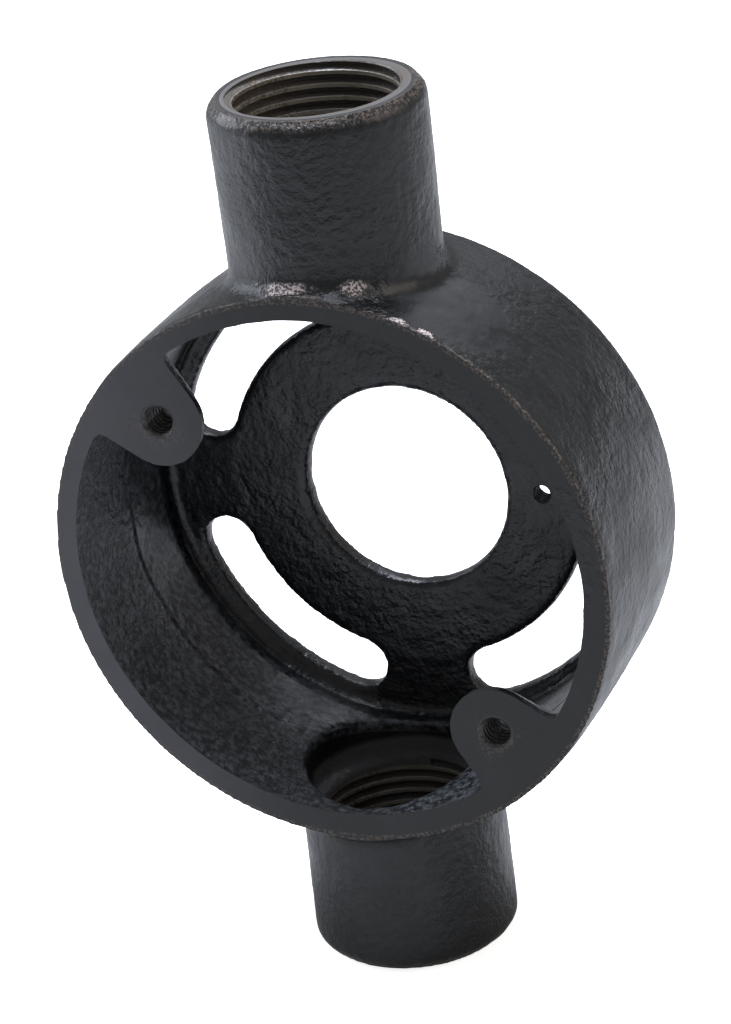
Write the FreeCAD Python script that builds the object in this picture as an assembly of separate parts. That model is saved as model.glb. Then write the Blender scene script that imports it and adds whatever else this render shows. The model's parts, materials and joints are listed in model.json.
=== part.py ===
import FreeCAD, Part
import math
import os

from FreeCAD import Vector

# Small circular through box for 20 mm conduit, cast in malleable iron as one piece.
#
# Millimetres. The origin is the centre of the lower spout's mouth, +Z runs up the common
# axis of the two spouts, and the open face of the box looks along -Y. The "box axis"
# crosses the spout axis at the middle of the box and runs along Y. The model is built
# about that crossing and raised onto its lower mouth at the end.

# ---- conduit way, M20 x 1.5, left plain at the crests of its thread ----
conduit_diameter = 20.0
conduit_pitch = 1.5
mouth_chamfer = 0.25
neck_wall = 1.7          # iron left round the cored way from the inside of the box to the thread
neck_depth = 3.6         # how far that way runs past the inner wall
neck_back_step = 0.1     # from the thread's crests out to the neck, at the back
neck_edge_radius = 0.5   # rounding where the way opens into the box

# ---- spouts ----
upper_reach = 52.35      # box axis to the upper mouth: each mouth is faced by itself
lower_reach = 51.4
upper_spout_wall = 2.25  # at the mouth, round the conduit's nominal size
lower_spout_wall = 2.1
spout_draft = 0.2        # how much slimmer a spout is at its root
upper_end_radius = 1.6   # rounding outside the mouth, heavier where the end was fettled more
lower_end_radius = 1.9
root_fillet = 2.2        # where a spout runs into the round wall

# ---- round box ----
rim_radius = 33.05       # outside, at the open rim
rim_margin = 1.0         # how far the machined rim face stands in front of the upper spout
back_margin = 1.55       # how far the back face stands behind it
waist_swell = 0.1        # how much bigger the outside is at mid depth, on the mould's parting
back_draft = 0.6         # how much smaller the outside is at the back face than at the rim
rim_wall = 3.0           # wall thickness at the rim
core_draft = 0.35        # how much smaller the inside is at the back plate
core_shift_across = -0.25 # the sand core of the inside sat this far off centre, in X
core_shift_up = 0.35     # and in Z
plate_thickness = 2.5
rim_edge_radius = 0.4    # rounding outside the rim face
back_edge_radius = 2.1   # rounding outside the back face
inner_corner_radius = 0.7

# ---- lid-screw lugs, M4 ----
lug_centres = 50.8       # between the two lid screws
lug_angles = (135, 315)  # about the box axis, from +X towards +Z
lug_radius = 5.45        # rounded tip of the lug, about its screw
lug_edge = 1.1           # straight edge of the lug before its underside slopes away
lug_depth = 8.0          # rim face to where the underside runs out on the wall
lug_foot_radius = 1.8
lug_foot_reach = 1.2     # how far the foot's centre stands off the inner wall
lug_notch_radius = 1.0   # fillet where a lug's side meets the inner wall
lug_seat = 0.05          # how far the fillet's end is let into the wall
lid_screw_diameter = 4.0
lid_screw_pitch = 0.7
lid_screw_chamfer = 0.4

# ---- back plate, with its earth-screw hole, M3 ----
centre_hole_radius = 12.25
centre_hole_edge_radius = 0.5
slot_inner_radius = 21.9
slot_outer_radius = 27.85
slot_count = 4
web_width = 10.6         # left between the rounded ends of two slots
earth_screw_reach = 16.8 # box axis to the earth screw, on the ring round the centre hole
earth_screw_diameter = 3.0
earth_screw_pitch = 0.5
earth_screw_chamfer = 0.2

# ---- worked out ----
CREST_DEPTH = 1.0825 / 2         # crest of an internal metric thread, in pitches inside its size
conduit_bore = conduit_diameter / 2 - CREST_DEPTH * conduit_pitch
upper_spout_radius = conduit_diameter / 2 + upper_spout_wall
lower_spout_radius = conduit_diameter / 2 + lower_spout_wall
neck_radius = lower_spout_radius - spout_draft - neck_wall
neck_offset = neck_radius - conduit_bore - neck_back_step  # neck forward of the spout axis
rim_depth = upper_spout_radius + rim_margin                # box axis crossing to the rim face
back_depth = upper_spout_radius + back_margin              # and to the back face
inner_rim_radius = rim_radius - rim_wall
inner_plate_radius = inner_rim_radius - core_draft
plate_face = back_depth - plate_thickness
mid_wall_radius = rim_radius - rim_wall / 2
lid_screw_bore = lid_screw_diameter / 2 - CREST_DEPTH * lid_screw_pitch
earth_screw_bore = earth_screw_diameter / 2 - CREST_DEPTH * earth_screw_pitch
overrun = 8.0                    # how far a rough shape or a cutter runs past its face

CORE_SHIFT = Vector(core_shift_across, 0, core_shift_up)
CENTRE = Vector(0, 0, 0)
BOX_AXIS = Vector(0, 1, 0)
SPOUT_AXIS = Vector(0, 0, 1)


def polar(radius, angle, depth=0.0):
    """Point at a radius and an angle about the box axis, from +X towards +Z."""
    turn = math.radians(angle)
    return Vector(radius * math.cos(turn), depth, radius * math.sin(turn))


def line(start, end):
    return Part.LineSegment(start, end).toShape()


def arc(start, middle, end):
    return Part.Arc(start, middle, end).toShape()


def chain(*points):
    """Straight edges from each point to the next."""
    return [line(a, b) for a, b in zip(points, points[1:])]


def turn_outline(edges, axis):
    """Solid turned about an axis through the crossing from a closed outline."""
    return Part.Face(Part.Wire(edges)).revolve(CENTRE, axis, 360)


def half_turn(shape):
    """The same shape on the opposite side of the box axis."""
    return shape.rotated(CENTRE, BOX_AXIS, 180)


def hole(radius, centre, front, back):
    """A round cutter along the box axis."""
    return Part.makeCylinder(radius, back - front, Vector(centre.x, front, centre.z), BOX_AXIS)


# ---- outside -------------------------------------------------------------------------

def outer_wall(depth):
    """Point of the slightly barrelled outer wall at a depth along the box axis."""
    barrel = Part.Circle(
        Vector(rim_radius, -rim_depth, 0),
        Vector(rim_radius + waist_swell, 0, 0),
        Vector(rim_radius - back_draft, back_depth, 0),
    )
    rise = math.sqrt(barrel.Radius ** 2 - (depth - barrel.Center.y) ** 2)
    return Vector(barrel.Center.x + rise, depth, 0)


def rough_drum():
    """The outside of the box as a barrel that overruns the rim and the back face."""
    front = -rim_depth - overrun
    back = back_depth + overrun
    wall = arc(outer_wall(front), outer_wall(0), outer_wall(back))
    ends = chain(outer_wall(back), Vector(0, back, 0), Vector(0, front, 0), outer_wall(front))
    return turn_outline([wall] + ends, BOX_AXIS)


def spout_blank(reach, radius, end_radius):
    """The outside of one spout, upwards from the box axis, with its mouth edge rounded."""
    shoulder = reach - end_radius
    inset = radius - end_radius
    diagonal = end_radius * math.sqrt(0.5)
    slope = spout_draft / (shoulder - rim_radius)
    foot_radius = radius - slope * shoulder
    mouth_edge = arc(
        Vector(radius, 0, shoulder),
        Vector(inset + diagonal, 0, shoulder + diagonal),
        Vector(inset, 0, reach),
    )
    side = chain(CENTRE, Vector(foot_radius, 0, 0), Vector(radius, 0, shoulder))
    top = chain(Vector(inset, 0, reach), Vector(0, 0, reach), CENTRE)
    return turn_outline(side + [mouth_edge] + top, SPOUT_AXIS)


def saddle_edges(body, wall_radius, spout_radius):
    """The edges where the spouts, or the ways through them, cross the round wall.

    Such an edge bends in all three directions, between the height of the wall at the
    spout's sides and its height on the spout axis.
    """
    side_height = math.sqrt(wall_radius ** 2 - spout_radius ** 2)
    rise = wall_radius - side_height
    found = []
    for edge in body.Edges:
        box = edge.BoundBox
        at_wall = side_height < abs(box.Center.z) < wall_radius
        wide = min(box.XLength, box.YLength) > spout_radius / 2
        if at_wall and wide and box.ZLength > rise / 4:
            found.append(edge)
    return found


def face_edges(body, depth):
    """The edges that lie in the plane at one depth along the box axis."""
    tolerance = 1e-4
    return [
        edge for edge in body.Edges
        if abs(edge.BoundBox.YMin - depth) < tolerance and abs(edge.BoundBox.YMax - depth) < tolerance
    ]


def outside():
    """Drum and spouts, filleted together, faced at the rim and the back, edges rounded."""
    upper = spout_blank(upper_reach, upper_spout_radius, upper_end_radius)
    lower = half_turn(spout_blank(lower_reach, lower_spout_radius, lower_end_radius))
    body = rough_drum().fuse([upper, lower]).removeSplitter()
    roots = saddle_edges(body, rim_radius + waist_swell, lower_spout_radius)
    body = body.makeFillet(root_fillet, roots)
    keep_width = 4 * rim_radius
    keep_height = 2 * (upper_reach + lower_reach)
    corner = Vector(-keep_width / 2, -rim_depth, -keep_height / 2)
    body = body.common(Part.makeBox(keep_width, rim_depth + back_depth, keep_height, corner))
    body = body.makeFillet(rim_edge_radius, face_edges(body, -rim_depth))
    return body.makeFillet(back_edge_radius, face_edges(body, back_depth))


# ---- inside --------------------------------------------------------------------------

def cored_inside():
    """The round room inside the box, open at the rim, with a small corner at the plate."""
    slope = core_draft / (rim_depth + plate_face)
    mouth = Vector(inner_rim_radius + slope * overrun, -rim_depth - overrun, 0)
    corner_side = Vector(inner_plate_radius, plate_face - inner_corner_radius, 0)
    corner_plate = Vector(inner_plate_radius - inner_corner_radius, plate_face, 0)
    bulge = inner_corner_radius * (1 - math.sqrt(0.5))
    corner_middle = Vector(inner_plate_radius - bulge, plate_face - bulge, 0)
    start = Vector(0, -rim_depth - overrun, 0)
    end = Vector(0, plate_face, 0)
    edges = chain(start, mouth, corner_side) + [arc(corner_side, corner_middle, corner_plate)]
    room = turn_outline(edges + chain(corner_plate, end, start), BOX_AXIS)
    room.translate(CORE_SHIFT)
    return room


def conduit_way(reach):
    """Cutter for one spout: cored neck, shoulder, plain bore and chamfered mouth."""
    thread_start = inner_rim_radius + neck_depth
    neck_base = Vector(0, -neck_offset, inner_rim_radius / 2)
    neck = Part.makeCylinder(neck_radius, thread_start - neck_base.z, neck_base, SPOUT_AXIS)
    shoulder_height = neck_radius - conduit_bore
    shoulder = Part.makeLoft([
        Part.Wire(Part.makeCircle(neck_radius, Vector(0, -neck_offset, thread_start), SPOUT_AXIS)),
        Part.Wire(Part.makeCircle(conduit_bore, Vector(0, 0, thread_start + shoulder_height), SPOUT_AXIS)),
    ], True, True)
    bore_base = Vector(0, 0, inner_rim_radius / 2)
    bore = Part.makeCylinder(conduit_bore, reach + overrun - bore_base.z, bore_base, SPOUT_AXIS)
    chamfer_base = Vector(0, 0, reach - mouth_chamfer)
    flare = conduit_bore + mouth_chamfer + overrun
    chamfer = Part.makeCone(conduit_bore, flare, mouth_chamfer + overrun, chamfer_base, SPOUT_AXIS)
    return neck.fuse([shoulder, bore, chamfer])


# ---- lugs ----------------------------------------------------------------------------

def inner_wall(angle, depth):
    """How far the inner wall stands from the box axis at an angle and a depth."""
    slope = core_draft / (rim_depth + plate_face)
    shift = CORE_SHIFT.dot(polar(1, angle))
    return inner_rim_radius - slope * (depth + rim_depth) + shift


def lug_outline(lug_angle, tip_radius, tip_centre, depth):
    """Round tip, two sides along radii of the box, and a fillet from each side into the wall."""
    wall = inner_wall(lug_angle, depth) + lug_seat
    notch_centre = wall - lug_notch_radius
    spread = math.degrees(math.asin(tip_radius / tip_centre))
    notch_turn = math.degrees(math.asin(lug_notch_radius / notch_centre))
    tangent = math.sqrt(tip_centre ** 2 - tip_radius ** 2)
    notch_start = math.sqrt(notch_centre ** 2 - lug_notch_radius ** 2)
    notch_middle = (notch_turn + 90) / 2

    def side(sign):
        angle = lug_angle + sign * spread
        centre = polar(notch_centre, angle + sign * notch_turn, depth)
        outward = angle + sign * notch_turn - sign * notch_middle
        return [
            polar(tangent, angle, depth),
            polar(notch_start, angle, depth),
            centre + polar(lug_notch_radius, outward),
            polar(wall, angle + sign * notch_turn, depth),
            polar(mid_wall_radius, angle + sign * notch_turn, depth),
        ]

    low, high = side(-1), side(1)
    tip = arc(low[0], polar(tip_centre - tip_radius, lug_angle, depth), high[0])
    low_side = [line(low[0], low[1]), arc(low[1], low[2], low[3]), line(low[3], low[4])]
    high_side = [line(high[0], high[1]), arc(high[1], high[2], high[3]), line(high[3], high[4])]
    return Part.Wire(low_side[::-1] + [tip] + high_side + [line(high[4], low[4])])


def lug(angle):
    """One lug: a straight edge at the rim face, then an underside that slopes to the wall."""
    foot_centre = inner_rim_radius - lug_foot_reach
    face = lug_outline(angle, lug_radius, lug_centres / 2, -rim_depth)
    pad = Part.Face(face).extrude(Vector(0, lug_edge, 0))
    shelf = lug_outline(angle, lug_radius, lug_centres / 2, lug_edge - rim_depth)
    foot = lug_outline(angle, lug_foot_radius, foot_centre, lug_depth - rim_depth)
    return pad.fuse(Part.makeLoft([shelf, foot], True, True))


def screw_hole(bore, chamfer, centre, front, back):
    """Cutter for a tapped hole, with a chamfer at its front face."""
    drill = hole(bore, centre, front - overrun, back)
    tip = Vector(centre.x, front - overrun, centre.z)
    length = chamfer + overrun
    return drill.fuse(Part.makeCone(bore + length, bore, length, tip, BOX_AXIS))


def lid_screw_hole(angle):
    """Cutter for one lid screw: through its lug, to the middle of the box."""
    centre = polar(lug_centres / 2, angle)
    return screw_hole(lid_screw_bore, lid_screw_chamfer, centre, -rim_depth, 0)


# ---- back plate ----------------------------------------------------------------------

def slot(middle_angle):
    """Cutter for one curved slot: two arcs about the box axis joined by round ends."""
    half_width = (slot_outer_radius - slot_inner_radius) / 2
    middle_radius = (slot_outer_radius + slot_inner_radius) / 2
    clear_of_web = math.degrees(math.asin((web_width / 2 + half_width) / middle_radius))
    half_span = 180 / slot_count - clear_of_web
    first = middle_angle - half_span
    last = middle_angle + half_span
    end_reach = math.degrees(half_width / middle_radius)
    depth = plate_face - overrun
    edges = [
        arc(polar(slot_inner_radius, first, depth), polar(slot_inner_radius, middle_angle, depth),
            polar(slot_inner_radius, last, depth)),
        arc(polar(slot_inner_radius, last, depth), polar(middle_radius, last + end_reach, depth),
            polar(slot_outer_radius, last, depth)),
        arc(polar(slot_outer_radius, last, depth), polar(slot_outer_radius, middle_angle, depth),
            polar(slot_outer_radius, first, depth)),
        arc(polar(slot_outer_radius, first, depth), polar(middle_radius, first - end_reach, depth),
            polar(slot_inner_radius, first, depth)),
    ]
    return Part.Face(Part.Wire(edges)).extrude(Vector(0, plate_thickness + 2 * overrun, 0))


def plate_openings():
    """Centre hole, curved slots between the webs, and the tapped earth hole at three o'clock."""
    step = 360 / slot_count
    slots = [slot(step * (number + 0.5)) for number in range(slot_count)]
    behind = back_depth + overrun
    centre = hole(centre_hole_radius, CENTRE, plate_face - overrun, behind)
    earth_centre = polar(earth_screw_reach, 0)
    earth = screw_hole(earth_screw_bore, earth_screw_chamfer, earth_centre, plate_face, behind)
    return slots + [centre, earth]


def centre_hole_edge(body):
    """The inner edge of the centre hole."""
    return [
        edge for edge in face_edges(body, plate_face)
        if abs(edge.BoundBox.XLength - 2 * centre_hole_radius) < 1e-3
    ]


# ---- the casting ---------------------------------------------------------------------

def box_casting():
    """Outside, inside, lugs, conduit ways, then the holes drilled and cored in it."""
    body = outside().cut(cored_inside())
    body = body.fuse([lug(angle) for angle in lug_angles]).removeSplitter()
    body = body.cut([conduit_way(upper_reach), half_turn(conduit_way(lower_reach))])
    body = body.makeFillet(neck_edge_radius, saddle_edges(body, inner_rim_radius, neck_radius))
    lid_screws = [lid_screw_hole(angle) for angle in lug_angles]
    body = body.cut(lid_screws + plate_openings())
    body = body.makeFillet(centre_hole_edge_radius, centre_hole_edge(body))
    body.translate(Vector(0, 0, lower_reach))
    return body


os.makedirs("parts", exist_ok=True)
box_casting().exportStep("parts/box_casting.step")
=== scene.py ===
import json
import math

import bpy
from mathutils import Matrix, Vector


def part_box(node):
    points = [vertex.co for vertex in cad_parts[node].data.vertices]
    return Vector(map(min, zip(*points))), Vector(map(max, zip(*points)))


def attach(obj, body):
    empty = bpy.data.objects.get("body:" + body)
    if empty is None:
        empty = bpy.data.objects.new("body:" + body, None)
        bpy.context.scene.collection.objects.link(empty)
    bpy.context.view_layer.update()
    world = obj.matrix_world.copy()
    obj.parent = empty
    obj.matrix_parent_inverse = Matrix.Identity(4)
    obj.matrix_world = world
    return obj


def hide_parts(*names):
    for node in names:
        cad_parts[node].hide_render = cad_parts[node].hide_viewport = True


# Small circular through box for 20 mm conduit: malleable iron, cast rough, faced and tapped,
# then dipped in black enamel. It is made here in the foundry's order: the rough casting
# first, then the faces and holes that a machine cuts, then the threads, then the enamel.

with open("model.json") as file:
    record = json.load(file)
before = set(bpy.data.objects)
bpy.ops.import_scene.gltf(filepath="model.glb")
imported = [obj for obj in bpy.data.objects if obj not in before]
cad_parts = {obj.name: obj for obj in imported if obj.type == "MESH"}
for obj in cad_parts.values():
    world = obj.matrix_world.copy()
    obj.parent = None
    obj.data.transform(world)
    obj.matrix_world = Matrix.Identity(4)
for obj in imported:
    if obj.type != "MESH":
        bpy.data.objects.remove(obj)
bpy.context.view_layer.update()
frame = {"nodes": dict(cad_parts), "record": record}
MM = 0.001

# ---- places on the casting, in metres ----
LOW, HIGH = (Vector(corner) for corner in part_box("box_casting"))
RIM_FACE = LOW.y
BACK_FACE = HIGH.y
UPPER_MOUTH = HIGH.z
LOWER_MOUTH = LOW.z
MOUNTS = {mount["name"]: mount for mount in frame["record"]["mounts"]}
BOX_CENTRE = Vector(MOUNTS["lid_screws"]["pos_m"])
BOX_HEIGHT = BOX_CENTRE.z
LUG_REACH = MOUNTS["lid_screws"]["dims"]["pcd_mm"] / 2 * MM
LUG_ANGLES = (135, 315)         # about the box axis, from +X towards +Z
EARTH = Vector(MOUNTS["earth_screw"]["pos_m"])
PLATE_FRONT = EARTH.y - 1.2 * MM
EARTH_START = Vector((EARTH.x, PLATE_FRONT, EARTH.z))    # where its screw enters the plate

CENTRE_HOLE = MOUNTS["centre_hole"]["dims"]["r_mm"] * MM
PLATE_EDGES = (CENTRE_HOLE, 21.9 * MM, 27.85 * MM)     # radii of the plate's openings

CUT = 0.02 * MM                 # each machined face is taken this far inside the rough one
ALLOWANCE = 0.6 * MM            # iron left on the rough casting for facing
GRAIN = 0.53 * MM               # mesh size of the rough casting


# ---- small tools ---------------------------------------------------------------------

def take(piece):
    """Make one object the only one selected, and the active one."""
    bpy.ops.object.select_all(action="DESELECT")
    piece.select_set(True)
    bpy.context.view_layer.objects.active = piece
    return piece


def pick(piece, test):
    """Select, in edit mode, the points of a mesh whose place passes a test."""
    take(piece)
    bpy.ops.object.mode_set(mode="EDIT")
    bpy.ops.mesh.select_mode(type="VERT")
    bpy.ops.mesh.select_all(action="DESELECT")
    bpy.ops.object.mode_set(mode="OBJECT")
    for point in piece.data.vertices:
        point.select = test(point.co)
    bpy.ops.object.mode_set(mode="EDIT")


def object_mode():
    bpy.ops.object.mode_set(mode="OBJECT")


def use_modifier(piece, kind, **settings):
    """Add a modifier, set it and apply it."""
    take(piece)
    modifier = piece.modifiers.new(kind.lower(), kind)
    for name, value in settings.items():
        setattr(modifier, name, value)
    bpy.ops.object.modifier_apply(modifier=modifier.name)


def place(piece, matrix):
    """Put an object somewhere and carry that place into its mesh."""
    take(piece)
    piece.matrix_world = matrix
    bpy.ops.object.transform_apply(location=True, rotation=True, scale=True)
    return piece


def join(pieces):
    """Make one object of several."""
    take(pieces[0])
    for piece in pieces[1:]:
        piece.select_set(True)
    bpy.ops.object.join()
    return pieces[0]


def cut_away(piece, tools):
    """Subtract closed tools that stand apart from each other, and drop them."""
    tool = join(tools)
    use_modifier(piece, "BOOLEAN", operation="DIFFERENCE", solver="EXACT", object=tool)
    bpy.data.objects.remove(tool, do_unlink=True)


def lug_screw(angle):
    """Centre of a lid screw in the rim face."""
    turn = math.radians(angle)
    reach = Vector((math.cos(turn), 0, math.sin(turn))) * LUG_REACH
    return Vector((0, RIM_FACE, BOX_HEIGHT)) + reach


def along(axis, start):
    """The placing that stands +Z along an axis, with the origin at a point."""
    return Matrix.Translation(start) @ Vector((0, 0, 1)).rotation_difference(axis).to_matrix().to_4x4()


# ---- the rough casting ---------------------------------------------------------------

def plug(radius, start, depth):
    """Iron that fills a hole the foundry leaves solid."""
    bpy.ops.mesh.primitive_cylinder_add(vertices=32, radius=radius, depth=depth)
    rod = bpy.context.object
    return place(rod, along(Vector((0, 1, 0)), start + Vector((0, depth / 2, 0))))


def rough_casting():
    """The casting as it leaves the sand: no drilled hole, iron to spare on each face to be cut."""
    source = frame["nodes"]["box_casting"]
    casting = bpy.data.objects.new("enamelled_casting", source.data.copy())
    bpy.context.scene.collection.objects.link(casting)
    pick(casting, lambda co: True)
    bpy.ops.mesh.remove_doubles(threshold=0.002 * MM)
    object_mode()
    within = 0.01 * MM
    for side, test in (
        ((0, -ALLOWANCE, 0), lambda co: co.y < RIM_FACE + within),
        ((0, 0, ALLOWANCE), lambda co: co.z > UPPER_MOUTH - within),
        ((0, 0, -ALLOWANCE), lambda co: co.z < LOWER_MOUTH + within),
    ):
        pick(casting, test)
        bpy.ops.transform.translate(value=side)
        object_mode()
    fills = []                  # a wide plug for each countersink, and a thin one for the hole
    for angle in LUG_ANGLES:
        face = lug_screw(angle) - Vector((0, ALLOWANCE, 0))
        fills.append(plug(2.2 * MM, face, ALLOWANCE + 0.6 * MM))
        fills.append(plug(1.5 * MM, face, ALLOWANCE + 2.4 * MM))
    fills.append(plug(1.1 * MM, EARTH_START, BACK_FACE - PLATE_FRONT))
    fills.append(plug(1.6 * MM, EARTH_START, 0.4 * MM))
    join([casting] + fills)
    use_modifier(casting, "REMESH", mode="VOXEL", voxel_size=GRAIN)
    use_modifier(casting, "SMOOTH", factor=0.5, iterations=3)
    return casting


def sand_texture(name, size, depth):
    """Unevenness of one size, left by the sand."""
    texture = bpy.data.textures.new(name, "CLOUDS")
    texture.noise_scale = size
    texture.noise_depth = depth
    texture.noise_basis = "IMPROVED_PERLIN"
    return texture


def on_plate_edge(co):
    """Whether a point is at the edge of one of the plate's openings."""
    off_box = math.hypot(co.x, co.z - BOX_HEIGHT)
    return co.y > PLATE_FRONT - 1 * MM and any(abs(off_box - edge) < 0.9 * MM for edge in PLATE_EDGES)


def as_cast(co):
    """How far a point is left rough: 1 on the skin, less at the plate's edges, 0 where cut."""
    height = abs(co.z - BOX_HEIGHT)
    in_spout = height > 34 * MM and math.hypot(co.x, co.y) < 10.6 * MM
    faced = co.y < RIM_FACE + 0.1 * MM or co.z > UPPER_MOUTH - 0.1 * MM or co.z < LOWER_MOUTH + 0.1 * MM
    if in_spout or faced:
        return 0.0
    return 0.25 if on_plate_edge(co) else 1.0


def roughen(casting):
    """Give the cast skin its waves and its orange peel."""
    skin = casting.vertex_groups.new(name="cast_skin")
    for point in casting.data.vertices:
        skin.add([point.index], as_cast(point.co), "REPLACE")
    for name, size, depth, height in (
        ("mould_waves", 7 * MM, 1, 0.22 * MM),
        ("sand_grain", 1.5 * MM, 2, 0.13 * MM),
    ):
        use_modifier(
            casting, "DISPLACE", texture=sand_texture(name, size, depth), texture_coords="LOCAL",
            strength=height, mid_level=0.8, vertex_group="cast_skin",
        )


def ease_plate_edges(casting):
    """Smooth the edges of the plate's openings, which the core left round and even."""
    edges = casting.vertex_groups.new(name="plate_edges")
    for point in casting.data.vertices:
        edges.add([point.index], 1.0 if on_plate_edge(point.co) else 0.0, "REPLACE")
    use_modifier(casting, "SMOOTH", factor=0.5, iterations=6, vertex_group="plate_edges")


# ---- machining -----------------------------------------------------------------------

def face_off(casting, point, outward):
    """Cut a flat face and throw away what stands in front of it."""
    pick(casting, lambda co: True)
    bpy.ops.mesh.bisect(
        plane_co=point, plane_no=outward, use_fill=True, clear_outer=True, threshold=0.0001 * MM)
    object_mode()


def drill(radius, length, chamfer, sides):
    """A drill along -Z from the origin, with a countersink that flares above it."""
    above = 2 * MM
    bpy.ops.mesh.primitive_cylinder_add(vertices=sides, radius=radius, depth=length)
    tool = bpy.context.object
    place(tool, Matrix.Translation((0, 0, -chamfer - length / 2)))
    pick(tool, lambda co: co.z > -chamfer - length / 2)
    bpy.ops.mesh.select_mode(type="FACE")
    bpy.ops.mesh.extrude_region_move(TRANSFORM_OT_translate={"value": (0, 0, chamfer + above)})
    flare = (radius + chamfer + above) / radius
    bpy.ops.transform.resize(value=(flare, flare, 1), center_override=(0, 0, above))
    object_mode()
    return tool


def thread_wire(crest, root, pitch, length, steps):
    """The groove of a 60 degree thread as a closed spiral wire, down -Z from just above the origin."""
    inner = crest - 0.07 * pitch        # so that the wire breaks into the drilled hole
    slope = math.tan(math.radians(30))
    root_width = pitch / 8
    base_width = root_width + 2 * slope * (root - inner)
    bpy.ops.mesh.primitive_plane_add(size=1)
    wire = bpy.context.object
    upright = Matrix.Rotation(math.radians(90), 4, "X")
    middle = Matrix.Translation(((inner + root) / 2, 0, 0))
    place(wire, middle @ upright @ Matrix.Diagonal((root - inner, base_width, 1, 1)))
    pick(wire, lambda co: co.x > (inner + root) / 2)
    bpy.ops.transform.resize(value=(1, 1, root_width / base_width), center_override=(root, 0, 0))
    bpy.ops.mesh.select_all(action="SELECT")
    bpy.ops.mesh.delete(type="ONLY_FACE")
    object_mode()
    turns = math.ceil(length / pitch) + 1
    use_modifier(
        wire, "SCREW", axis="Z", angle=2 * math.pi, screw_offset=pitch, iterations=turns,
        steps=steps, render_steps=steps, use_merge_vertices=False, use_smooth_shade=False,
    )
    take(wire)
    bpy.ops.object.mode_set(mode="EDIT")
    bpy.ops.mesh.select_all(action="SELECT")
    bpy.ops.mesh.fill_holes(sides=4)
    bpy.ops.mesh.normals_make_consistent(inside=False)
    object_mode()
    return place(wire, Matrix.Translation((0, 0, -length)))


def knock(place_hit, radius):
    """A ball that takes a small bite out of an edge."""
    bpy.ops.mesh.primitive_ico_sphere_add(subdivisions=2, radius=radius)
    ball = bpy.context.object
    pick(ball, lambda co: co.z > 0)
    bpy.ops.transform.resize(value=(0.8, 1.2, 0.7), center_override=(0, 0, 0))
    object_mode()
    return place(ball, Matrix.Translation(place_hit))


def knocks():
    """Bites out of the upper mouth's lip and out of the centre hole's edge."""
    return [
        knock(Vector((11.9 * MM, 5.2 * MM, UPPER_MOUTH - 0.2 * MM)), 0.9 * MM),
        knock(Vector((-11.9 * MM, -4.6 * MM, UPPER_MOUTH + 0.1 * MM)), 0.8 * MM),
        knock(Vector((-CENTRE_HOLE - 0.1 * MM, PLATE_FRONT, BOX_HEIGHT - 1.2 * MM)), 0.6 * MM),
    ]


def machine(casting):
    """Face the rim and both mouths, then drill and tap the five threaded holes.

    Enamel has partly filled the threads of the small holes, so these are cut shallow.
    """
    face_off(casting, (0, RIM_FACE + CUT, 0), (0, -1, 0))
    face_off(casting, (0, 0, UPPER_MOUTH - CUT), (0, 0, 1))
    face_off(casting, (0, 0, LOWER_MOUTH + CUT), (0, 0, -1))
    drills, taps = [], []

    def tap(start, outward, crest, size, pitch, depth, length, chamfer, sides):
        placing = along(outward, start)
        drills.append(place(drill(crest, depth, chamfer, sides), placing))
        taps.append(place(thread_wire(crest, size / 2, pitch, length, sides), placing))

    for name in ("upper_conduit_entry", "lower_conduit_entry"):
        entry = MOUNTS[name]
        length = entry["dims"]["length_mm"] * MM
        tap(Vector(entry["pos_m"]), Vector(entry["axis"]),
            crest=entry["dims"]["r_mm"] * MM + 0.03 * MM, size=20 * MM, pitch=1.5 * MM,
            depth=length + 0.2 * MM, length=length, chamfer=0.35 * MM, sides=64)
    forward = Vector((0, -1, 0))
    for angle in LUG_ANGLES:
        tap(lug_screw(angle), forward, crest=1.65 * MM, size=3.7 * MM, pitch=0.7 * MM,
            depth=9 * MM, length=5 * MM, chamfer=0.35 * MM, sides=32)
    tap(EARTH_START, forward, crest=0.98 * MM, size=2.56 * MM, pitch=0.5 * MM,
        depth=6 * MM, length=4 * MM, chamfer=0.2 * MM, sides=24)
    cut_away(casting, drills + knocks())
    cut_away(casting, taps)


# ---- enamel --------------------------------------------------------------------------

def linear(colour):
    """An sRGB hex colour as linear red, green, blue and alpha."""
    values = [int(colour[k:k + 2], 16) / 255 for k in (1, 3, 5)]
    return [v / 12.92 if v <= 0.04045 else ((v + 0.055) / 1.055) ** 2.4 for v in values] + [1]


def add_node(tree, kind, settings=None, sockets=None):
    """Add a node, set its settings, and set or link its sockets."""
    node = tree.nodes.new(kind)
    for name, value in (settings or {}).items():
        setattr(node, name, value)
    for name, value in (sockets or {}).items():
        if isinstance(value, bpy.types.NodeSocket):
            tree.links.new(value, node.inputs[name])
        else:
            node.inputs[name].default_value = value
    return node


def zone(tree, limits, joined_by="MULTIPLY"):
    """A mask made of several limits: all of them, or with MAXIMUM any of them.

    A limit is a mask, or a value with the size at which it gives 0 and the size at which it gives 1.
    """
    whole = None
    for limit in limits:
        if isinstance(limit, tuple):
            value, zero_at, one_at = limit
            limit = add_node(tree, "ShaderNodeMapRange", {"interpolation_type": "SMOOTHSTEP"}, {
                "Value": value, "From Min": zero_at, "From Max": one_at}).outputs["Result"]
        if whole is None:
            whole = limit
        else:
            whole = add_node(tree, "ShaderNodeMath", {"operation": joined_by}, {
                0: whole, 1: limit}).outputs[0]
    return whole


def near(tree, place_on, centre, outside, inside):
    """A mask that is 1 close to a place on the casting and 0 away from it."""
    distance = add_node(tree, "ShaderNodeVectorMath", {"operation": "DISTANCE"}, {
        0: place_on, 1: centre}).outputs["Value"]
    return zone(tree, [(distance, outside, inside)])


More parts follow.
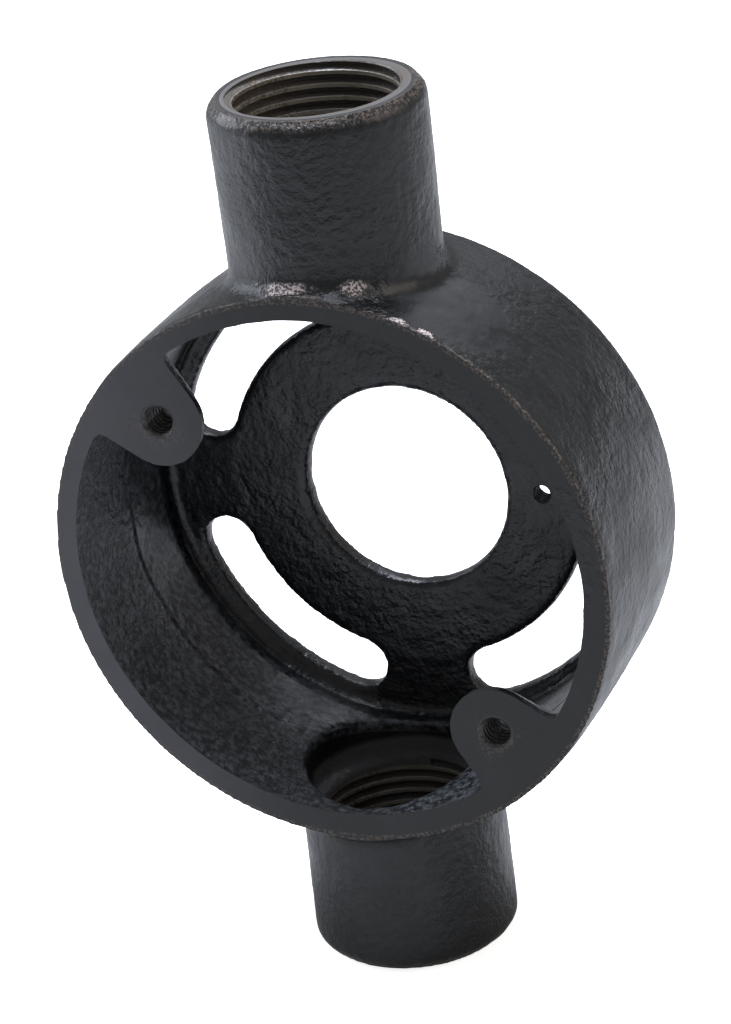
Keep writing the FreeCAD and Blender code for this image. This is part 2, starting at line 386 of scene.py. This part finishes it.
def grains(tree, place_on):
    """The sizes of grain in the skin, each from 0 to 1."""
    found = {}
    for name, size, detail in (
        ("peel", 1.1 * MM, 3.0),        # orange peel of the sand
        ("broken", 0.8 * MM, 4.0),      # where the core's sand broke up
        # small dark spots, painted shade for the skin's pits
        ("pit_shade", 0.6 * MM, 1.0),
        ("specks", 0.35 * MM, 2.0),
        ("fine_specks", 0.3 * MM, 2.0),
        ("ragged", 1.4 * MM, 2.0),      # ragged edge of a patch
        ("clouds", 6 * MM, 2.0),        # thick and thin enamel
        ("drifts", 14 * MM, 2.0),       # rough and smooth areas of the mould
    ):
        found[name] = add_node(tree, "ShaderNodeTexNoise", {}, {
            "Vector": place_on, "Scale": 1 / size, "Detail": detail, "Roughness": 0.6}).outputs["Fac"]
    return found


def measures(tree, place_on):
    """Distances, in metres, that tell one part of the casting from another."""
    parts = add_node(tree, "ShaderNodeSeparateXYZ", {}, {"Vector": place_on}).outputs
    height = add_node(tree, "ShaderNodeMath", {"operation": "SUBTRACT"}, {
        0: parts["Z"], 1: BOX_HEIGHT}).outputs[0]
    upright = add_node(tree, "ShaderNodeCombineXYZ", {}, {"X": parts["X"], "Z": height}).outputs[0]
    flat = add_node(tree, "ShaderNodeCombineXYZ", {}, {"X": parts["X"], "Y": parts["Y"]}).outputs[0]
    found = {"across": parts["X"], "depth": parts["Y"], "up": parts["Z"], "upright": upright}
    for name, vector in (("off_conduit", flat), ("off_box", upright)):
        found[name] = add_node(tree, "ShaderNodeVectorMath", {"operation": "LENGTH"}, {
            0: vector}).outputs["Value"]
    found["reach"] = add_node(tree, "ShaderNodeMath", {"operation": "ABSOLUTE"}, {0: height}).outputs[0]
    return found


def screw_hole_mask(tree, upright):
    """1 in the lid screws' holes, which lie on one line across the box's axis."""
    turned = add_node(tree, "ShaderNodeVectorRotate", {"rotation_type": "Y_AXIS"}, {
        "Vector": upright, "Angle": math.radians(LUG_ANGLES[1])})
    parts = add_node(tree, "ShaderNodeSeparateXYZ", {}, {"Vector": turned.outputs["Vector"]}).outputs
    outwards = add_node(tree, "ShaderNodeMath", {"operation": "ABSOLUTE"}, {0: parts["X"]}).outputs[0]
    folded = add_node(tree, "ShaderNodeCombineXYZ", {}, {"X": outwards, "Z": parts["Z"]}).outputs[0]
    return near(tree, folded, Vector((LUG_REACH, 0, 0)), 2.2 * MM, 2.1 * MM)


def bare_patches(tree, place_on, ragged):
    """1 on patches of chipped enamel, with painted highlights, on the ledge in front of the upper spout
    and along the rim's edge.
    """
    ledge = Vector((0, RIM_FACE, UPPER_MOUTH - 18.8 * MM))
    patches = []
    for middle, half_sizes in (     # from the middle of the ledge, in mm
        ((-1.0, 0.9, 0.1), (3.6, 1.8, 0.9)),
        ((6.4, 2.6, -0.1), (2.4, 1.6, 0.9)),
        ((12.2, 0.6, -2.8), (1.6, 0.8, 0.8)),
        ((14.8, 0.5, -4.3), (1.6, 0.8, 0.9)),
    ):
        scaled = add_node(tree, "ShaderNodeMapping", {"vector_type": "TEXTURE"}, {
            "Vector": place_on, "Location": ledge + Vector(middle) * MM,
            "Scale": Vector(half_sizes) * MM}).outputs["Vector"]
        away = add_node(tree, "ShaderNodeVectorMath", {"operation": "LENGTH"}, {
            0: scaled}).outputs["Value"]
        edge = add_node(tree, "ShaderNodeMath", {"operation": "MULTIPLY_ADD"}, {
            0: ragged, 1: 1.2, 2: away}).outputs[0]
        patches.append(zone(tree, [(edge, 1.7, 1.1)]))
    return zone(tree, patches, "MAXIMUM")


def zones(tree, place_on, size, grain):
    """Masks of the casting's parts: how each was made decides how the enamel looks on it, and some of
    them carry painted light and painted highlights.
    """
    across, depth, up, reach = size["across"], size["depth"], size["up"], size["reach"]
    off_box, off_conduit = size["off_box"], size["off_conduit"]
    near_face = 0.05 * MM
    part = {"rim": zone(tree, [(depth, RIM_FACE + near_face, RIM_FACE + near_face / 2)])}
    part["mouths"] = zone(tree, [
        (up, UPPER_MOUTH - near_face, UPPER_MOUTH - near_face / 2),
        (up, LOWER_MOUTH + near_face, LOWER_MOUTH + near_face / 2)], "MAXIMUM")
    part["faced"] = zone(tree, [part["rim"], part["mouths"]], "MAXIMUM")
    # painted light: 1 at the rim's left edge and 0 at its middle
    part["left_of_rim"] = zone(tree, [part["rim"], (across, 0, LOW.x)])
    # painted light: the neck of each bore, painted lighter grey
    part["neck"] = zone(tree, [(reach, 31 * MM, 32 * MM), (off_conduit, 10.5 * MM, 10.4 * MM)])
    in_spout = zone(tree, [(reach, 35.2 * MM, 35.3 * MM)])
    # painted light in the threaded bores, and painted highlights on the crests of their threads
    part["threads"] = zone(tree, [in_spout, (off_conduit, 10.3 * MM, 10.2 * MM)])
    part["crests"] = zone(tree, [in_spout, (off_conduit, 9.34 * MM, 9.26 * MM)])
    # painted light: the lid screws' holes, painted grey
    part["screw_holes"] = screw_hole_mask(tree, size["upright"])
    part["wall_inside"] = zone(tree, [
        (off_box, 31 * MM, 30.6 * MM), (off_box, 26 * MM, 27 * MM), (depth, 10.5 * MM, 8.5 * MM),
        (depth, RIM_FACE + near_face, RIM_FACE + 0.2 * MM)])

    # lips of the mouths, the rim's outer edge and all sharp edges, rubbed in specks
    lips = zone(tree, [(up, UPPER_MOUTH - 1.4 * MM, UPPER_MOUTH - 0.3 * MM),
                       (up, LOWER_MOUTH + 1.2 * MM, LOWER_MOUTH + 0.2 * MM)], "MAXIMUM")
    lips = zone(tree, [lips, (off_conduit, 10.6 * MM, 11.2 * MM)])
    rim_edge = zone(tree, [(depth, RIM_FACE + 0.6 * MM, RIM_FACE + 0.3 * MM),
                           (off_box, 32.2 * MM, 32.5 * MM), (reach, 34 * MM, 33 * MM)])
    pointed = add_node(tree, "ShaderNodeNewGeometry").outputs["Pointiness"]
    sharp = zone(tree, [(pointed, 0.59, 0.68), (depth, 8 * MM, 6 * MM)])
    rubbed = zone(tree, [lips, rim_edge, sharp], "MAXIMUM")
    part["worn"] = zone(tree, [rubbed, (grain["specks"], 0.46, 0.62)])

    off_rim = zone(tree, [(depth, RIM_FACE + 0.1 * MM, RIM_FACE + 0.3 * MM)])
    part["patches"] = zone(tree, [off_rim, bare_patches(tree, place_on, grain["ragged"])])
    # speckle for the painted highlights in the chipped patches
    chips_and_glints = add_node(tree, "ShaderNodeMath", {"operation": "MULTIPLY_ADD"}, {
        0: part["patches"], 1: 0.16, 2: grain["fine_specks"]}).outputs[0]
    part["bare"] = zone(tree, [part["patches"], (chips_and_glints, 0.6, 0.7)])
    return part


def enamel_colour(tree, part, grain):
    """Black with painted shade in the hollows of the orange peel, with the colour of each other part
    laid over it.
    """
    # painted shade: the peel's hollows are painted a darker black than its tops
    colour = add_node(tree, "ShaderNodeMix", {"data_type": "RGBA"}, {
        0: zone(tree, [(grain["peel"], 0.35, 0.7)]),
        6: linear("#050609"), 7: linear("#121418")}).outputs[2]
    for where, finish in (
        # thin enamel, grey specks of painted light on the shaded wall inside the box, and painted shade
        # in small pits
        (zone(tree, [(grain["clouds"], 0.45, 0.65)]), "#101215"),
        # painted light: grey specks that lighten the wall inside the box
        (zone(tree, [part["wall_inside"], (grain["broken"], 0.38, 0.68)]), "#585b61"),
        # painted shade: small pits painted near-black
        (zone(tree, [(grain["pit_shade"], 0.34, 0.3)]), "#030304"),
        # the faces that were cut, clouded, and painted light that makes the rim lighter towards its
        # left
        (part["rim"], "#0f0f11"),
        (zone(tree, [part["rim"], (grain["clouds"], 0.4, 0.7)]), "#1f1e1f"),
        (part["left_of_rim"], "#4a4b50"),
        (part["mouths"], "#2a2929"),
        # painted light in the holes: the bore's neck, the lid screws' holes and the threads are painted
        # lighter grey, with painted highlights on the crests of the threads
        (part["neck"], "#5c5c5e"),
        (part["screw_holes"], "#2e2e2f"),
        (part["threads"], "#585450"),
        (part["crests"], "#857d72"),
        # brown iron on the rubbed edges, pinkish grey chipped enamel in the patches, and painted
        # highlights as near-white specks in them
        (part["worn"], "#5a4f47"),
        (part["patches"], "#4a4344"),
        # painted highlights: near-white specks in the patches
        (part["bare"], "#d2c4c2"),
    ):
        colour = add_node(tree, "ShaderNodeMix", {"data_type": "RGBA"}, {
            0: where, 6: colour, 7: linear(finish)}).outputs[2]
    return colour


def enamel_relief(tree, place_on, size, part, grain):
    """Fine relief: orange peel that comes and goes, grit near the rim, and the core's joint."""
    strength = add_node(tree, "ShaderNodeMapRange", {}, {
        "Value": grain["drifts"], "From Min": 0.35, "From Max": 0.65,
        "To Min": 0.45, "To Max": 1.2}).outputs["Result"]
    # a smooth shoulder right of the upper spout, and a rough place on the right of the rim
    shoulder = Vector((15 * MM, RIM_FACE + 8 * MM, BOX_HEIGHT + 28.5 * MM))
    scar = Vector((29 * MM, RIM_FACE, BOX_HEIGHT + 5 * MM))
    for where, there in (
        (part["faced"], 0.16),
        (near(tree, place_on, shoulder, 9 * MM, 6 * MM), 0.2),
        (near(tree, place_on, scar, 9 * MM, 5 * MM), 0.9),
        (zone(tree, [part["wall_inside"], (size["depth"], 0.0, 3 * MM)]), 0.3),
    ):
        strength = add_node(tree, "ShaderNodeMix", {}, {0: where, 2: strength, 3: there}).outputs[0]
    relief = zone(tree, [grain["peel"], strength])

    grit = zone(tree, [part["wall_inside"], (size["depth"], 1 * MM, -2 * MM), grain["broken"]])
    glints = zone(tree, [part["patches"], grain["fine_specks"]])
    rough_sand = zone(tree, [grit, glints], "MAXIMUM")
    # the joint of the core runs round the wall inside, at half its depth and a little askew
    askew = add_node(tree, "ShaderNodeMath", {"operation": "MULTIPLY_ADD"}, {
        0: grain["clouds"], 1: 1.5 * MM, 2: size["depth"]}).outputs[0]
    joint = zone(tree, [part["wall_inside"], (askew, 0.7 * MM, 1.7 * MM)])
    for more, height in ((rough_sand, 1.1), (joint, 1.6)):
        relief = add_node(tree, "ShaderNodeMath", {"operation": "MULTIPLY_ADD"}, {
            0: more, 1: height, 2: relief}).outputs[0]
    return add_node(tree, "ShaderNodeBump", {}, {
        "Height": relief, "Strength": 1.0, "Distance": 0.3 * MM}).outputs["Normal"]


def black_enamel():
    """Stoved black enamel on malleable iron.

    The iron was cast in green sand, so the enamel lies over an orange peel about a
    millimetre across. Its hollows are painted darker as painted shade, and it is thin and
    satin on the faces that were cut. On the lips it is rubbed through to brown iron, and
    the threads carry painted light, with painted highlights on their crests.
    """
    material = bpy.data.materials.new("black_enamel_on_cast_iron")
    material.use_nodes = True
    tree = material.node_tree
    tree.nodes.clear()
    place_on = add_node(tree, "ShaderNodeTexCoord").outputs["Object"]
    grain = grains(tree, place_on)
    size = measures(tree, place_on)
    part = zones(tree, place_on, size, grain)
    shine = add_node(tree, "ShaderNodeMapRange", {}, {
        "Value": grain["clouds"], "From Min": 0.3, "From Max": 0.7, "To Min": 0.26, "To Max": 0.42})
    rough = add_node(tree, "ShaderNodeMath", {"operation": "MULTIPLY_ADD"}, {
        0: part["faced"], 1: 0.16, 2: shine.outputs["Result"]}).outputs[0]
    shader = add_node(tree, "ShaderNodeBsdfPrincipled", {}, {
        "Base Color": enamel_colour(tree, part, grain), "Roughness": rough,
        "Normal": enamel_relief(tree, place_on, size, part, grain)})
    add_node(tree, "ShaderNodeOutputMaterial", {}, {"Surface": shader.outputs["BSDF"]})
    return material


# ---- the piece -----------------------------------------------------------------------

def make_casting():
    casting = rough_casting()
    roughen(casting)
    ease_plate_edges(casting)
    machine(casting)
    take(casting)
    bpy.ops.object.shade_smooth_by_angle(angle=math.radians(35))
    casting.data.materials.clear()
    casting.data.materials.append(black_enamel())
    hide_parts("box_casting")
    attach(casting, "root")
    return casting


# ---- studio --------------------------------------------------------------------------

def look_at(obj, start, target, up):
    """Stand an object at a point, facing another, with its own up as near as may be to one given."""
    back = (start - target).normalized()
    right = up.cross(back).normalized()
    turn = Matrix((right, back.cross(right), back)).transposed()
    obj.matrix_world = Matrix.Translation(start) @ turn.to_4x4()


def soft_light(name, turn, height, distance, size, power, colour="#ecf3ff"):
    """A square lamp seen from the box at a turn from +X towards +Y and a height, in degrees."""
    lamp = bpy.data.lights.new(name, "AREA")
    lamp.shape = "SQUARE"
    lamp.size = size
    lamp.energy = power
    lamp.color = linear(colour)[:3]
    obj = bpy.data.objects.new(name, lamp)
    bpy.context.scene.collection.objects.link(obj)
    turn, height = math.radians(turn), math.radians(height)
    flat = math.cos(height)
    way = Vector((flat * math.cos(turn), flat * math.sin(turn), math.sin(height)))
    centre = Vector((0, 0, BOX_HEIGHT))
    look_at(obj, centre + way * distance, centre, Vector((0, 0.01, 1)))


def camera_sees(tree):
    """1 for what the camera sees, straight or through glass, a share of it for shine, 0 for light."""
    path = add_node(tree, "ShaderNodeLightPath")
    straight = add_node(tree, "ShaderNodeMath", {"operation": "MAXIMUM"}, {
        0: path.outputs["Is Camera Ray"], 1: path.outputs["Is Transmission Ray"]})
    # Shine shows this share of the white paper; with all of it the black enamel looks grey.
    mirrored = add_node(tree, "ShaderNodeMath", {"operation": "MULTIPLY"}, {
        0: path.outputs["Is Glossy Ray"], 1: 0.13})
    return add_node(tree, "ShaderNodeMath", {"operation": "MAXIMUM"}, {
        0: straight.outputs[0], 1: mirrored.outputs[0]}).outputs[0]


def white_paper():
    """Paper that is grey to the light that it throws back, and white to the camera."""
    material = bpy.data.materials.new("white_paper")
    material.use_nodes = True
    tree = material.node_tree
    tree.nodes.clear()
    seen = camera_sees(tree)
    colour = add_node(tree, "ShaderNodeMix", {"data_type": "RGBA"}, {
        0: seen, 6: linear("#b0b0b0"), 7: linear("#ffffff")}).outputs[2]
    glow = add_node(tree, "ShaderNodeMath", {"operation": "MULTIPLY"}, {0: seen, 1: 0.8})
    shader = add_node(tree, "ShaderNodeBsdfPrincipled", {}, {
        "Base Color": colour, "Roughness": 0.9, "Specular IOR Level": 0.0,
        "Emission Color": (1, 1, 1, 1), "Emission Strength": glow.outputs[0]})
    add_node(tree, "ShaderNodeOutputMaterial", {}, {"Surface": shader.outputs["BSDF"]})
    return material


def studio():
    scene = bpy.context.scene
    world = bpy.data.worlds.new("studio")
    world.use_nodes = True
    scene.world = world
    tree = world.node_tree
    tree.nodes.clear()
    strength = add_node(tree, "ShaderNodeMapRange", {}, {
        "Value": camera_sees(tree), "To Min": 0.2, "To Max": 1.0})
    sky = add_node(tree, "ShaderNodeBackground", {}, {
        "Color": (1, 1, 1, 1), "Strength": strength.outputs["Result"]})
    add_node(tree, "ShaderNodeOutputWorld", {}, {"Surface": sky.outputs["Background"]})

    bpy.ops.mesh.primitive_plane_add(size=6, location=(0, 0, LOWER_MOUTH))
    floor = bpy.context.object
    floor.name = "floor"
    floor.data.materials.append(white_paper())

    soft_light("overhead", 150, 78, 0.8, 0.12, 5)
    soft_light("wide_overhead", 100, 80, 1.0, 0.7, 11)
    soft_light("behind", 85, 34, 1.1, 0.4, 0.5)
    soft_light("right", 10, 30, 1.0, 0.6, 2.2, colour="#fff3e8")
    soft_light("left", 175, 25, 1.0, 0.6, 4.6)
    soft_light("front_left", 200, 2, 0.16, 0.12, 0.04)

    lens = bpy.data.cameras.new("camera")
    lens.lens = 139.12
    camera = bpy.data.objects.new("camera", lens)
    scene.collection.objects.link(camera)
    stand = Vector((0.16736, -0.37471, 0.23204))
    aim = Vector((-0.00053, 0.00056, 0.05308))
    look_at(camera, stand, aim, Vector((0, 0, 1)))
    roll = math.radians(-7.096)
    camera.matrix_world = camera.matrix_world @ Matrix.Rotation(roll, 4, "Z")
    scene.camera = camera
    scene.view_settings.view_transform = "Standard"


make_casting()
studio()
